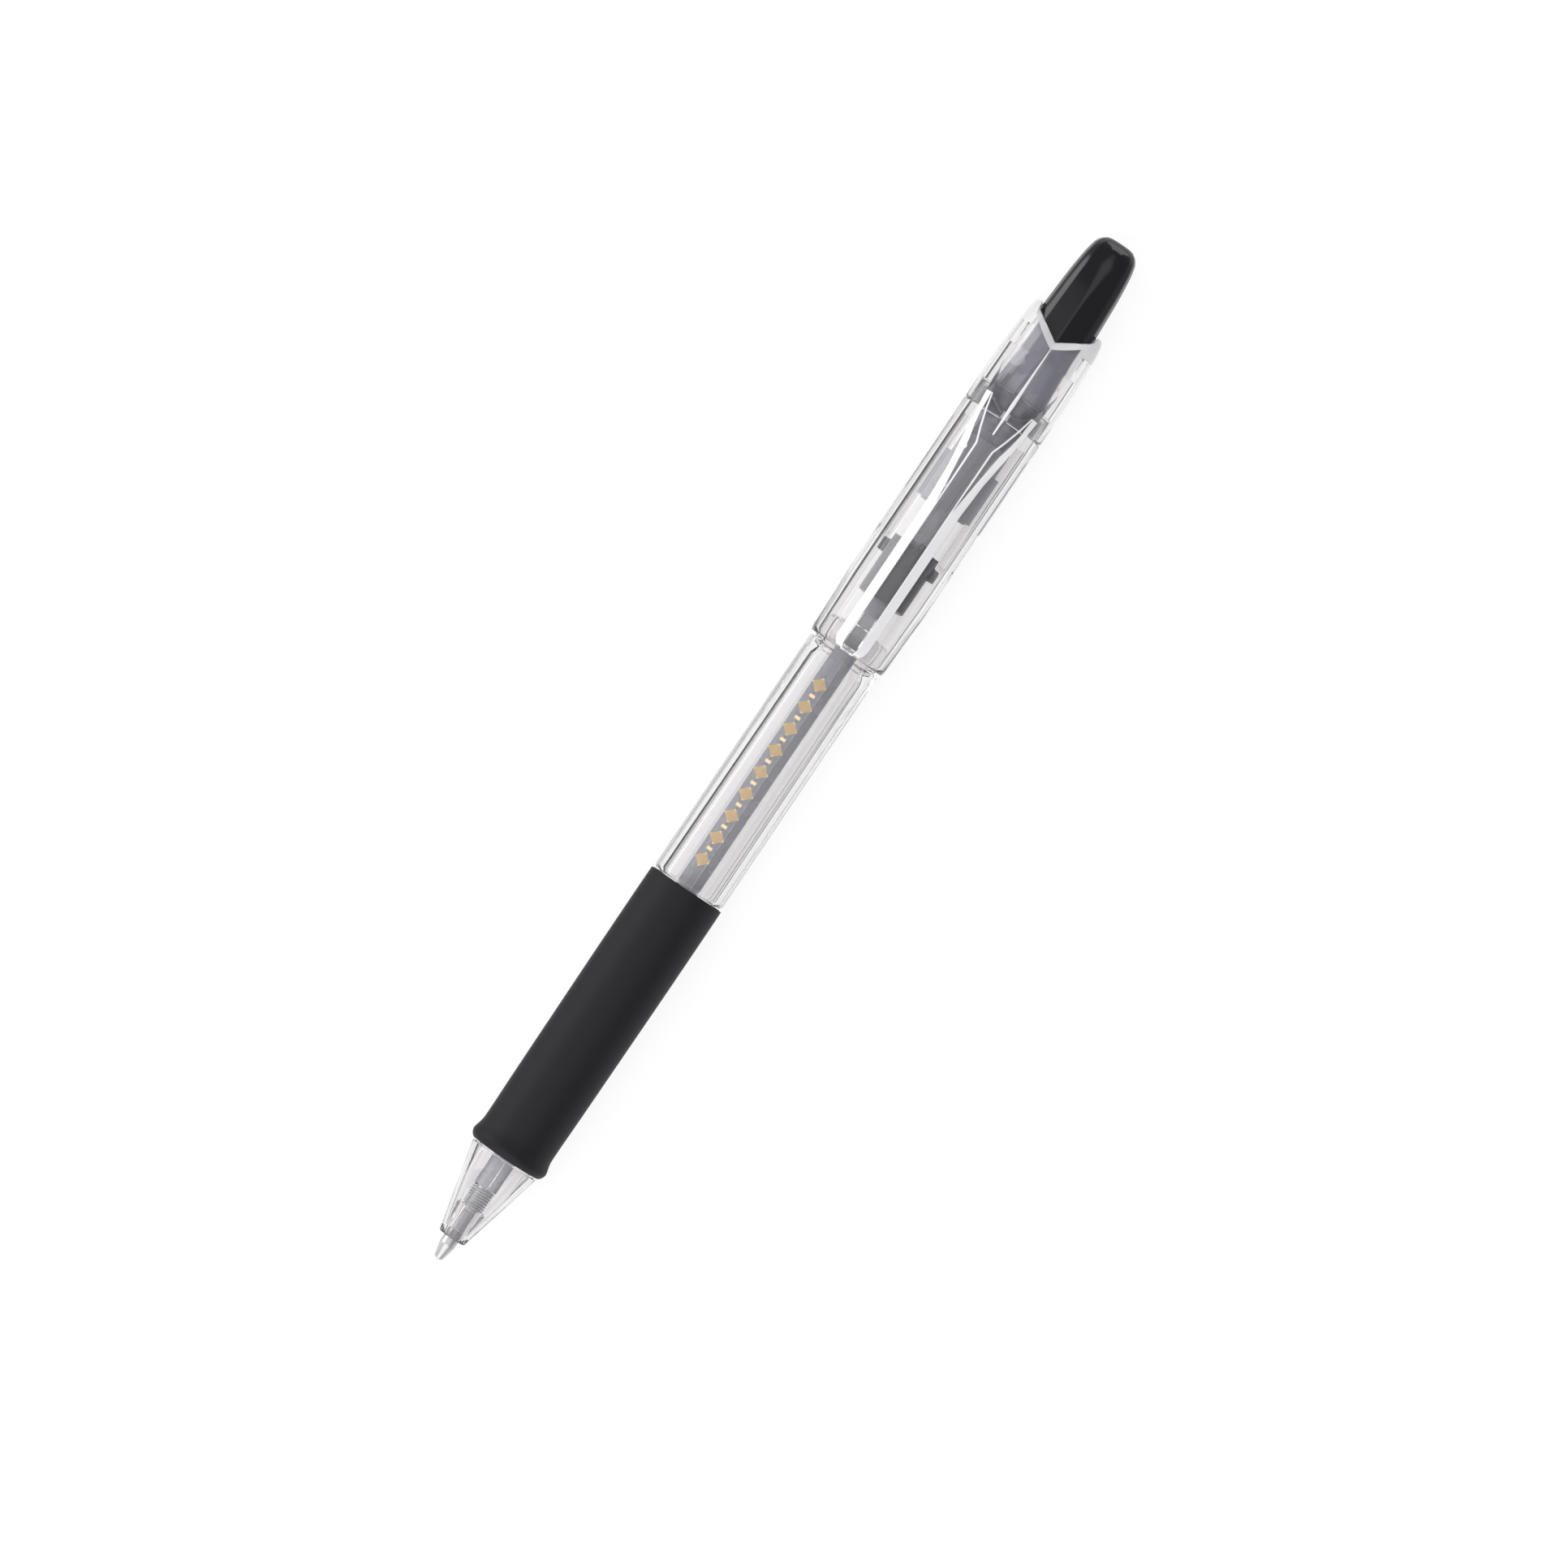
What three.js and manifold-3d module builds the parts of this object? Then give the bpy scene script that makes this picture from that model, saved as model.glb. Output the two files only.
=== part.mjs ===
// A clear retractable pen with a press button and a turning cam, in millimetres.
// +X runs from the writing end to the button, and +Z is the side that carries the clip.
// The origin is below the pen's middle, on the surface that the pen lies on.
// Every outline is written as [station, radius]: the station is the distance from the writing
// end along the pen's axis, and the radius is the distance from that axis.

import * as THREE from 'three';
import { mergeVertices } from 'three/addons/utils/BufferGeometryUtils.js';
import Module from 'manifold-3d';

const wasm = await Module();
wasm.setup();

// Overall sizes
const LENGTH = 145.2;
const BODY_RADIUS = 5.345;
const FINE_SIDES = 32;
const SMALL_SIDES = 16;

// The button's travel from the writing position to the stored position
const STROKE = 5.5;

// Front barrel, with the nose, the seat for the grip and the spigot for the rear barrel
const NOSE_END = 3.08;
const NOSE_END_RADIUS = 1.75;
const NOSE_BACK = 14.3;
const NOSE_BACK_RADIUS = 4.5;
const TIP_HOLE_RADIUS = 1.15;
const SEAT_RADIUS = 4.0;
const SHOULDER = 53.2;
const FRONT_RADIUS = 4.755;
const FRONT_BORE_RADIUS = 3.6;
const SPIGOT_START = 87.0;
const SPIGOT_END = 90.0;
const SPIGOT_RADIUS = 4.25;
const SPIGOT_BORE_RADIUS = 2.95;
const BORE_RIB_RADIUS = 3.0;
const BORE_RIB_WIDTH = 0.7;
const SPRING_SEAT = 7.4;

// Grip sleeve
const GRIP_START = 14.55;
const GRIP_END = 53.0;
const GRIP_BORE_RADIUS = 4.05;

// Rear barrel and its guide ribs
const REAR_START = 86.8;
const REAR_END = 119.9;
const REAR_BORE_RADIUS = 4.33;
const CAP_SPIGOT_END = 122.8;
const CAP_SPIGOT_RADIUS = 4.78;
const GUIDE_COUNT = 4;
const GUIDE_HALF_DEG = 6;
const GUIDE_INNER_RADIUS = 3.3;
const GUIDE_MIDDLE_FRONT = 100.8;
const GUIDE_BACK = 118.0;
const RAMP_STEPS = 4;

// Cap
const CAP_START = 119.95;
const CAP_END = 134.4;
const CAP_SOCKET_RADIUS = 4.84;
const CAP_SOCKET_END = 123.0;
const CAP_BORE_RADIUS = 4.4;
const CAP_STOP = 128.3;
const BUTTON_GAP = 0.14;
const NOTCH_POINT = 131.0;
const NOTCH_EDGE = 133.5;
const NOTCH_HALF_WIDTH = 3.75;

// Clip, with heights above the pen's axis
const CLIP_TOP = 8.1;
const CLIP_SHOULDER = 7.35;
const CLIP_UNDER = 6.55;
const CLIP_FLAT_HALF_WIDTH = 1.1;
const CLIP_ROOT = 121.8;
const CLIP_END = 86.7;
const HEAD_FRONT = 122.1;
const HEAD_BACK = 130.2;
const PAD_UNDER = 5.5;

// Button, flange and stem
const BUTTON_FOOT = 131.4;
const BUTTON_NECK_END = 122.1;
const FLANGE_START = 120.2;
const FLANGE_RADIUS = 4.2;
const STEM_START = 114.0;
const STEM_RADIUS = 1.7;

// Plunger
const PLUNGER_START = 107.0;
const PLUNGER_END = 116.8;
const PLUNGER_RADIUS = 3.13;
const SPLINE_END = 113.6;
const SPLINE_RADIUS = 4.0;
const SPLINE_HALF_DEG = 15;
const DRIVER_RADIUS = 2.1;
const DRIVER_TEETH = 102.0;
const PILOT_START = 99.0;
const PILOT_RADIUS = 1.0;

// Rotor: it turns by one eighth over the stroke, and its ribs pass the guide ribs along a helix
const ROTOR_START = 94.3;
const ROTOR_TEETH = 101.25;
const ROTOR_RADIUS = 3.13;
const ROTOR_RIB_FRONT = 99.2;
const ROTOR_RIB_RADIUS = 4.0;
const ROTOR_RIB_GAP = 0.12;
const TEETH_HEIGHT = 0.6;
const TEETH_COUNT = 8;
const HELIX_PER_DEG = STROKE / 45;

// Refill
const TUBE_START = 10.26;
const TUBE_END = 97.0;
const TUBE_RADIUS = 1.5;
const TUBE_BORE_RADIUS = 1.05;
const INK_RADIUS = 0.98;
const INK_START = 13.4;
const INK_END = 93.0;
const FOLLOWER_END = 95.4;
const TIP_RADIUS = 1.0;
const TIP_CONE_BACK = 2.08;
const TIP_BACK = 13.2;
const BALL_RADIUS = 0.48;
const SOCKET_RADIUS = 0.54;
const SOCKET_LIP_DEG = 120;
const INK_CHANNEL_RADIUS = 0.25;

// Return spring
const SPRING_RADIUS = 1.3;
const SPRING_WIRE_RADIUS = 0.1;
const SPRING_TURNS = 8;

const radians = THREE.MathUtils.degToRad;

// ---------- solids ----------

function solid(geometry) {
  const plain = new THREE.BufferGeometry();
  plain.setAttribute('position', geometry.getAttribute('position'));
  plain.setIndex(geometry.getIndex());
  const merged = mergeVertices(plain, 1e-5);
  const index = merged.getIndex().array;
  const triangles = [];
  for (let i = 0; i < index.length; i += 3) {
    const [a, b, c] = index.slice(i, i + 3);
    if (a !== b && b !== c && c !== a) triangles.push(a, b, c);
  }
  const vertProperties = new Float32Array(merged.getAttribute('position').array);
  return new wasm.Manifold(
    new wasm.Mesh({ numProp: 3, vertProperties, triVerts: new Uint32Array(triangles) }),
  );
}

function join(first, ...others) {
  return others.reduce((whole, other) => whole.add(other), first);
}

function cut(first, ...others) {
  return others.reduce((whole, other) => whole.subtract(other), first);
}

// A LatheGeometry turned to lie along X. An outline that leaves the axis closes on itself, and
// runs forward to back on its outside.
function revolvedGeometry(outline, sides = FINE_SIDES) {
  const points = outline.map(([station, radius]) => new THREE.Vector2(radius, station));
  if (outline[0][1] > 0) points.push(points[0].clone());
  return new THREE.LatheGeometry(points, sides).rotateZ(-Math.PI / 2);
}

function revolve(outline, sides) {
  return solid(revolvedGeometry(outline, sides));
}

function rod(from, to, radius, sides) {
  return revolve([[from, 0], [from, radius], [to, radius], [to, 0]], sides);
}

// A flat fin in a plane through the axis, turned to its angle about the axis.
function fin(outline, width, degrees) {
  const shape = new THREE.Shape(outline.map(([station, radius]) => new THREE.Vector2(station, radius)));
  const geometry = new THREE.ExtrudeGeometry(shape, { depth: width, bevelEnabled: false });
  geometry.translate(0, 0, -width / 2);
  geometry.rotateX(Math.PI / 2 + radians(degrees));
  return solid(geometry);
}

// Skins over rings of points, one ring for each section, with flat ends. Each ring is convex and
// turns by the right-hand rule about the direction in which the rings follow each other.
function loft(rings) {
  const count = rings[0].length;
  const positions = rings.flat(2);
  const index = [];
  for (let ring = 0; ring + 1 < rings.length; ring += 1) {
    for (let i = 0; i < count; i += 1) {
      const a = ring * count + i;
      const b = ring * count + ((i + 1) % count);
      index.push(a, b, b + count, a, b + count, a + count);
    }
  }
  const last = (rings.length - 1) * count;
  for (let i = 1; i + 1 < count; i += 1) {
    index.push(0, i + 1, i, last, last + i, last + i + 1);
  }
  const geometry = new THREE.BufferGeometry();
  geometry.setAttribute('position', new THREE.Float32BufferAttribute(positions, 3));
  geometry.setIndex(index);
  return solid(geometry);
}

// The whole ring of a section that is the same on both sides, from its half on the +Y side,
// listed from the lowest point to the highest as [across, up].
function mirroredRing(station, half) {
  const other = half.filter(([across]) => across > 0).reverse().map(([across, up]) => [-across, up]);
  return [...half, ...other].map(([across, up]) => [station, across, up]);
}

// A block between two radii and two angles about the axis. Its front and back stations may
// follow the angle, which makes a helical ramp.
function sector({ inner, outer, from, to, front, back, steps }) {
  const at = (station, degrees) => (typeof station === 'function' ? station(degrees) : station);
  const rings = [];
  for (let i = 0; i <= steps; i += 1) {
    const degrees = from + ((to - from) * i) / steps;
    const y = Math.cos(radians(degrees));
    const z = Math.sin(radians(degrees));
    const corner = (station, radius) => [at(station, degrees), radius * y, radius * z];
    rings.push([corner(front, inner), corner(back, inner), corner(back, outer), corner(front, outer)]);
  }
  return loft(rings);
}

function aroundAxis(count, first, make) {
  return Array.from({ length: count }, (_, i) => make(first + (i * 360) / count));
}

// Turns the flat end of a revolved piece into a crown of slanted teeth.
function withTeeth(geometry, station) {
  const position = geometry.getAttribute('position');
  const steps = FINE_SIDES / TEETH_COUNT;
  for (let i = 0; i < position.count; i += 1) {
    if (Math.abs(position.getX(i) - station) > 1e-3) continue;
    const turn = Math.atan2(position.getY(i), position.getZ(i)) / (2 * Math.PI);
    const step = Math.round((turn + 1) * FINE_SIDES) % steps;
    position.setX(i, station + (TEETH_HEIGHT * step) / (steps - 1));
  }
  return solid(geometry);
}

// ---------- barrels and grip ----------

function frontBarrel() {
  const shell = revolve([
    [NOSE_END, TIP_HOLE_RADIUS],
    [NOSE_END, NOSE_END_RADIUS],
    [NOSE_BACK, NOSE_BACK_RADIUS],
    [NOSE_BACK, SEAT_RADIUS],
    [SHOULDER, SEAT_RADIUS],
    [SHOULDER, FRONT_RADIUS - 0.15],
    [SHOULDER + 0.4, FRONT_RADIUS],
    [SPIGOT_START - 0.6, FRONT_RADIUS],
    [SPIGOT_START - 0.6, SPIGOT_RADIUS],
    [SPIGOT_END - 0.5, SPIGOT_RADIUS],
    [SPIGOT_END, SPIGOT_RADIUS - 0.4],
    [SPIGOT_END, SPIGOT_BORE_RADIUS + 0.3],
    [SPIGOT_END - 0.5, SPIGOT_BORE_RADIUS],
    [SPIGOT_START - 1.5, SPIGOT_BORE_RADIUS],
    [SPIGOT_START - 2.5, FRONT_BORE_RADIUS],
    [NOSE_BACK, FRONT_BORE_RADIUS],
    [TUBE_START, 2.94],
    [4.3, 1.5],
    [4.3, TIP_HOLE_RADIUS],
  ]);
  const boreRib = [
    [TUBE_START + 0.15, BORE_RIB_RADIUS],
    [SPIGOT_START - 1.3, BORE_RIB_RADIUS],
    [SPIGOT_START - 1.3, FRONT_BORE_RADIUS + 0.15],
    [NOSE_BACK, FRONT_BORE_RADIUS + 0.15],
    [TUBE_START + 0.15, BORE_RIB_RADIUS + 0.15],
  ];
  const springFin = [
    [4.2, TIP_HOLE_RADIUS + 0.05],
    [SPRING_SEAT, TIP_HOLE_RADIUS + 0.05],
    [SPRING_SEAT, 2.5],
    [4.2, 1.75],
  ];
  return join(
    shell,
    ...aroundAxis(4, 0, (degrees) => fin(boreRib, BORE_RIB_WIDTH, degrees)),
    ...aroundAxis(4, 45, (degrees) => fin(springFin, 0.5, degrees)),
  );
}

function gripSleeve() {
  return revolve([
    [GRIP_START, GRIP_BORE_RADIUS],
    [GRIP_START, 4.55],
    [GRIP_START + 0.3, 4.88],
    [GRIP_START + 0.8, 5.13],
    [GRIP_START + 1.3, 5.08],
    [GRIP_START + 2.1, 4.88],
    [GRIP_START + 3.4, 4.79],
    [24, 4.85],
    [33, 4.9],
    [42, 4.945],
    [GRIP_END - 1, 4.945],
    [GRIP_END - 0.35, 4.9],
    [GRIP_END, 4.72],
    [GRIP_END, GRIP_BORE_RADIUS],
  ]);
}

// The front end of a guide rib, as a helical ramp about the rib's middle.
function guideFront(middle) {
  return (degrees) => GUIDE_MIDDLE_FRONT + HELIX_PER_DEG * (degrees - middle);
}

function rearBarrel() {
  const shell = revolve([
    [REAR_START, REAR_BORE_RADIUS],
    [REAR_START, 4.95],
    [REAR_START + 0.5, 5.12],
    [REAR_START + 4.5, 5.2],
    [REAR_START + 8.2, BODY_RADIUS],
    [REAR_END, BODY_RADIUS],
    [REAR_END, CAP_SPIGOT_RADIUS],
    [CAP_SPIGOT_END, CAP_SPIGOT_RADIUS],
    [CAP_SPIGOT_END, REAR_BORE_RADIUS],
  ]);
  const guide = (middle) => sector({
    inner: GUIDE_INNER_RADIUS,
    outer: REAR_BORE_RADIUS + 0.4,
    from: middle - GUIDE_HALF_DEG,
    to: middle + GUIDE_HALF_DEG,
    front: guideFront(middle),
    back: GUIDE_BACK,
    steps: RAMP_STEPS,
  });
  return join(shell, ...aroundAxis(GUIDE_COUNT, 0, guide));
}

// ---------- cap and clip ----------

// The ten-sided section of the button: a shallow roof above and below, and narrow side facets.
function buttonRing(station, halfWidth, gap = 0) {
  const size = halfWidth / 3.75;
  return mirroredRing(station, [
    [0, -4.0 * size - gap],
    [2.75 * size + gap / 2, -3.05 * size - gap],
    [halfWidth + gap, -1.5 * size],
    [halfWidth + gap, 1.5 * size],
    [2.75 * size + gap / 2, 3.05 * size + gap],
    [0, 4.0 * size + gap],
  ]);
}

function roofRing(station, halfWidth, ridge, eave) {
  return mirroredRing(station, [[0, 3.2], [halfWidth - 0.2, 3.2], [halfWidth, eave], [0, ridge]]);
}

function clipCap() {
  const shell = revolve([
    [CAP_START, 0],
    [CAP_START, BODY_RADIUS],
    [124, BODY_RADIUS],
    [128.7, 5.225],
    [131.1, 5.13],
    [132.3, 5.035],
    [NOTCH_EDGE, 4.865],
    [CAP_END, 4.65],
    [CAP_END, 0],
  ]);
  const head = loft([
    roofRing(HEAD_FRONT, 3.5, 8.2, 6.9),
    roofRing(125, 3.35, 7.7, 6.2),
    roofRing(128, 2.5, 6.4, 5.2),
    roofRing(HEAD_BACK, 1.2, 5.1, 4.5),
  ]);
  const socket = rod(CAP_START - 1, CAP_SOCKET_END, CAP_SOCKET_RADIUS);
  const bore = rod(CAP_START - 1, CAP_STOP, CAP_BORE_RADIUS);
  const opening = loft([
    buttonRing(CAP_STOP - 1, 3.8, BUTTON_GAP),
    buttonRing(CAP_END + 1, 3.8, BUTTON_GAP),
  ]);
  const notchShape = new THREE.Shape([
    new THREE.Vector2(NOTCH_POINT, 0),
    new THREE.Vector2(NOTCH_POINT + 1.0, -2.0),
    new THREE.Vector2(NOTCH_EDGE, -NOTCH_HALF_WIDTH),
    new THREE.Vector2(CAP_END + 1, -NOTCH_HALF_WIDTH - 0.5),
    new THREE.Vector2(CAP_END + 1, NOTCH_HALF_WIDTH + 0.5),
    new THREE.Vector2(NOTCH_EDGE, NOTCH_HALF_WIDTH),
    new THREE.Vector2(NOTCH_POINT + 1.0, 2.0),
  ]);
  const notchBlock = new THREE.ExtrudeGeometry(notchShape, { depth: 6, bevelEnabled: false });
  const notch = solid(notchBlock.translate(0, 0, 1.5));
  return cut(join(shell, head), socket, bore, opening, notch);
}

// The chamfered section of the clip's arm.
function clipRing(station, flat, halfWidth, top, under) {
  return mirroredRing(station, [
    [0, under],
    [halfWidth - 0.25, under],
    [halfWidth, under + 0.3],
    [halfWidth, CLIP_SHOULDER],
    [flat, top],
    [0, top],
  ]);
}

function pocketClip() {
  const arm = loft([
    clipRing(CLIP_END, 0.7, 1.1, CLIP_TOP - 0.35, CLIP_UNDER),
    clipRing(CLIP_END + 0.5, 1.0, 1.8, CLIP_TOP - 0.05, CLIP_UNDER),
    clipRing(CLIP_END + 1.5, CLIP_FLAT_HALF_WIDTH, 2.15, CLIP_TOP, CLIP_UNDER),
    clipRing(107.5, CLIP_FLAT_HALF_WIDTH, 2.2, CLIP_TOP, CLIP_UNDER),
    clipRing(112, CLIP_FLAT_HALF_WIDTH, 2.45, CLIP_TOP, CLIP_UNDER),
    clipRing(116, CLIP_FLAT_HALF_WIDTH, 2.95, CLIP_TOP, CLIP_UNDER),
    clipRing(118, 0.8, 3.15, CLIP_TOP, CLIP_UNDER),
    clipRing(CLIP_ROOT, 0.2, 3.5, CLIP_TOP + 0.05, CLIP_UNDER),
  ]);
  const padCrossings = [
    [CLIP_END + 0.2, 6.4],
    [CLIP_END + 0.9, PAD_UNDER + 0.2],
    [CLIP_END + 1.8, PAD_UNDER],
    [CLIP_END + 2.7, PAD_UNDER + 0.2],
    [CLIP_END + 5.2, 6.4],
  ];
  const pad = loft(padCrossings.map(([station, under]) => mirroredRing(station, [
    [0, under],
    [1.0, under],
    [1.0, CLIP_UNDER + 0.4],
    [0, CLIP_UNDER + 0.4],
  ])));
  return join(arm, pad);
}

// ---------- button, plunger and rotor ----------

function knockButton() {
  const crown = [
    [LENGTH, 1.25],
    [LENGTH - 0.35, 2.07],
    [LENGTH - 0.64, 2.44],
    [LENGTH - 1.22, 2.8],
    [LENGTH - 2.1, 3.03],
  ];
  const sides = [
    [141.9, 3.225],
    [139.5, 3.47],
    [137.1, 3.615],
    [134.5, 3.75],
    [BUTTON_FOOT, 3.78],
  ];
  const neck = [
    [BUTTON_FOOT - 0.05, 2.85],
    [126, 3.3],
    [BUTTON_NECK_END - 0.1, 3.4],
  ];
  const rings = [...crown, ...sides, ...neck].reverse();
  const body = loft(rings.map(([station, halfWidth]) => buttonRing(station, halfWidth)));
  const flange = rod(FLANGE_START, BUTTON_NECK_END, FLANGE_RADIUS);
  const stem = rod(STEM_START, FLANGE_START + 0.2, STEM_RADIUS, SMALL_SIDES);
  return join(body, flange, stem);
}

function knockPlunger() {
  const body = withTeeth(revolvedGeometry([
    [PILOT_START, 0],
    [PILOT_START, PILOT_RADIUS],
    [DRIVER_TEETH, PILOT_RADIUS],
    [DRIVER_TEETH, DRIVER_RADIUS],
    [PLUNGER_START, DRIVER_RADIUS],
    [PLUNGER_START, PLUNGER_RADIUS],
    [PLUNGER_END, PLUNGER_RADIUS],
    [PLUNGER_END, STEM_RADIUS + 0.05],
    [STEM_START - 0.2, STEM_RADIUS + 0.05],
    [STEM_START - 0.2, 0],
  ]), DRIVER_TEETH);
  const spline = (middle) => sector({
    inner: PLUNGER_RADIUS - 0.5,
    outer: SPLINE_RADIUS,
    from: middle - SPLINE_HALF_DEG,
    to: middle + SPLINE_HALF_DEG,
    front: PLUNGER_START + 0.2,
    back: SPLINE_END,
    steps: 3,
  });
  return join(body, ...aroundAxis(GUIDE_COUNT, 45, spline));
}

function camRotor() {
  const body = withTeeth(revolvedGeometry([
    [TUBE_END + 0.2, 0],
    [TUBE_END + 0.2, TUBE_RADIUS + 0.12],
    [ROTOR_START, TUBE_RADIUS + 0.12],
    [ROTOR_START, ROTOR_RADIUS],
    [ROTOR_TEETH, ROTOR_RADIUS],
    [ROTOR_TEETH, PILOT_RADIUS + 0.15],
    [PILOT_START - 0.5, PILOT_RADIUS + 0.15],
    [PILOT_START - 0.5, 0],
  ]), ROTOR_TEETH);
  const rib = (middle) => sector({
    inner: ROTOR_RADIUS - 0.5,
    outer: ROTOR_RIB_RADIUS,
    from: middle - GUIDE_HALF_DEG,
    to: middle + GUIDE_HALF_DEG,
    front: ROTOR_RIB_FRONT,
    back: (degrees) => guideFront(middle)(degrees) - ROTOR_RIB_GAP,
    steps: RAMP_STEPS,
  });
  return join(body, ...aroundAxis(GUIDE_COUNT, 0, rib));
}

// ---------- refill and spring ----------

function inkTube() {
  return revolve([
    [TUBE_START, TUBE_BORE_RADIUS],
    [TUBE_START, TUBE_RADIUS],
    [TUBE_END, TUBE_RADIUS],
    [TUBE_END, TUBE_BORE_RADIUS],
  ], SMALL_SIDES);
}

function writingTip() {
  const socket = [];
  const channelDeg = THREE.MathUtils.radToDeg(Math.asin(INK_CHANNEL_RADIUS / SOCKET_RADIUS));
  for (let i = 0; i <= 4; i += 1) {
    const angle = radians(channelDeg + ((SOCKET_LIP_DEG - channelDeg) * i) / 4);
    socket.push([BALL_RADIUS + SOCKET_RADIUS * Math.cos(angle), SOCKET_RADIUS * Math.sin(angle)]);
  }
  const lip = socket[socket.length - 1];
  return revolve([
    [lip[0] + 0.02, 0.56],
    [TIP_CONE_BACK, TIP_RADIUS],
    [TIP_BACK, TIP_RADIUS],
    [TIP_BACK, INK_CHANNEL_RADIUS],
    ...socket,
  ], SMALL_SIDES);
}

function writingBall() {
  const sphere = new THREE.SphereGeometry(BALL_RADIUS, 12, 8);
  return solid(sphere.rotateZ(-Math.PI / 2).translate(BALL_RADIUS, 0, 0));
}

class SpringLine extends THREE.Curve {
  getPoint(t, target = new THREE.Vector3()) {
    const angle = t * SPRING_TURNS * 2 * Math.PI;
    const from = SPRING_SEAT + SPRING_WIRE_RADIUS + 0.03;
    const to = TUBE_START - SPRING_WIRE_RADIUS - 0.03;
    return target.set(
      from + (to - from) * t,
      SPRING_RADIUS * Math.cos(angle),
      SPRING_RADIUS * Math.sin(angle),
    );
  }
}

function returnSpring() {
  const wire = new THREE.Shape();
  wire.absarc(0, 0, SPRING_WIRE_RADIUS, 0, 2 * Math.PI);
  return solid(new THREE.ExtrudeGeometry(wire, {
    extrudePath: new SpringLine(),
    steps: SPRING_TURNS * 14,
    curveSegments: 6,
  }));
}

// ---------- assembly ----------

const CLEAR = { color: 0xe8e6e7, roughness: 0.05, metalness: 0, transparent: true, opacity: 0.35 };
const SMOKE = { color: 0x2c2b31, roughness: 0.2, metalness: 0 };
const METAL = { color: 0xb9bac0, roughness: 0.25, metalness: 1 };

const PIECES = {
  front_barrel: [frontBarrel, CLEAR],
  grip_sleeve: [gripSleeve, { color: 0x2a282b, roughness: 0.65, metalness: 0 }],
  rear_barrel: [rearBarrel, CLEAR],
  clip_cap: [clipCap, CLEAR],
  pocket_clip: [pocketClip, CLEAR],
  knock_button: [knockButton, SMOKE],
  knock_plunger: [knockPlunger, { color: 0xb2b4be, roughness: 0.3, metalness: 0 }],
  cam_rotor: [camRotor, { color: 0x7d7f85, roughness: 0.35, metalness: 0 }],
  ink_tube: [inkTube, { color: 0xaeb1b9, roughness: 0.3, metalness: 0 }],
  ink_column: [() => rod(INK_START, INK_END, INK_RADIUS, SMALL_SIDES), SMOKE],
  ink_follower: [() => rod(INK_END + 0.1, FOLLOWER_END, INK_RADIUS, SMALL_SIDES), CLEAR],
  writing_tip: [writingTip, METAL],
  writing_ball: [writingBall, METAL],
  return_spring: [returnSpring, METAL],
};

function meshOf(name, make, look) {
  const { vertProperties, triVerts } = make().getMesh();
  const geometry = new THREE.BufferGeometry();
  geometry.setAttribute('position', new THREE.BufferAttribute(new Float32Array(vertProperties), 3));
  geometry.setIndex(new THREE.BufferAttribute(new Uint32Array(triVerts), 1));
  const mesh = new THREE.Mesh(geometry, new THREE.MeshStandardMaterial(look));
  mesh.name = name;
  return mesh;
}

const pen = new THREE.Group();
for (const [name, [make, look]] of Object.entries(PIECES)) {
  pen.add(meshOf(name, make, look));
}
pen.position.set(-LENGTH / 2, 0, BODY_RADIUS);

export default pen;
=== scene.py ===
"""The looks of a clear retractable pen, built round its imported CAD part.

Every outline is written in millimetres as (station, radius): the station is the distance from
the writing end along the pen's axis, and the radius is the distance from that axis. An angle
about the axis is in degrees from +Y towards +Z. place() turns those into the row frame.
"""

import math

import bmesh
import bpy
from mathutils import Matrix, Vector


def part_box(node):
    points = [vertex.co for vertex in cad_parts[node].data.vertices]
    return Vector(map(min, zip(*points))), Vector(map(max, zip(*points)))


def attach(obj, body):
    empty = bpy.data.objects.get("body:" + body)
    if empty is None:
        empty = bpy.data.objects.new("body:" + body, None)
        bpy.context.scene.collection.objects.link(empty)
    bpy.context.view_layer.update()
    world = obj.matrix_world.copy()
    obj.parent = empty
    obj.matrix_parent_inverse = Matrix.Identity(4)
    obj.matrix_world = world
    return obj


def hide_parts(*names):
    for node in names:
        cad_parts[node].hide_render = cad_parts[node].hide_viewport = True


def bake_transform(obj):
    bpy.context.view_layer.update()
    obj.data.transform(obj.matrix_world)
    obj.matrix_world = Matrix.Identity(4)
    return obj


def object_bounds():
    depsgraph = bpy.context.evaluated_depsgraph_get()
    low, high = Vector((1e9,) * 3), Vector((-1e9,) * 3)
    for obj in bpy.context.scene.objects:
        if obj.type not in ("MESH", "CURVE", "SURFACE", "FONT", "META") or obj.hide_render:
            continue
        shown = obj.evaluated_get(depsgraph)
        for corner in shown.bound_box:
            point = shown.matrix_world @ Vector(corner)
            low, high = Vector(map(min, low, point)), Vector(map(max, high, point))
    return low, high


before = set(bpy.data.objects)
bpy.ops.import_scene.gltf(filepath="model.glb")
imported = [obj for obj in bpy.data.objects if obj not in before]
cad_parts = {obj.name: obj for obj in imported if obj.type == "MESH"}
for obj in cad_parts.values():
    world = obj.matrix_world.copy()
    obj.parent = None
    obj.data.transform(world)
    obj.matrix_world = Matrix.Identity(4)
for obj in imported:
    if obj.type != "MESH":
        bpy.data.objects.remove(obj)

MM = 0.001
CAD_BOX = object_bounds()
PEN_START = CAD_BOX[0].x
AXIS_HEIGHT = sum(corner.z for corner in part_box("rear_barrel")) / 2


def ends(node):
    """The first and last station of a CAD node, in millimetres."""
    return tuple((corner.x - PEN_START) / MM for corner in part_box(node))


def radius_of(node):
    """Half the width of a CAD node, in millimetres."""
    low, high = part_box(node)
    return (high.y - low.y) / 2 / MM


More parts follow.
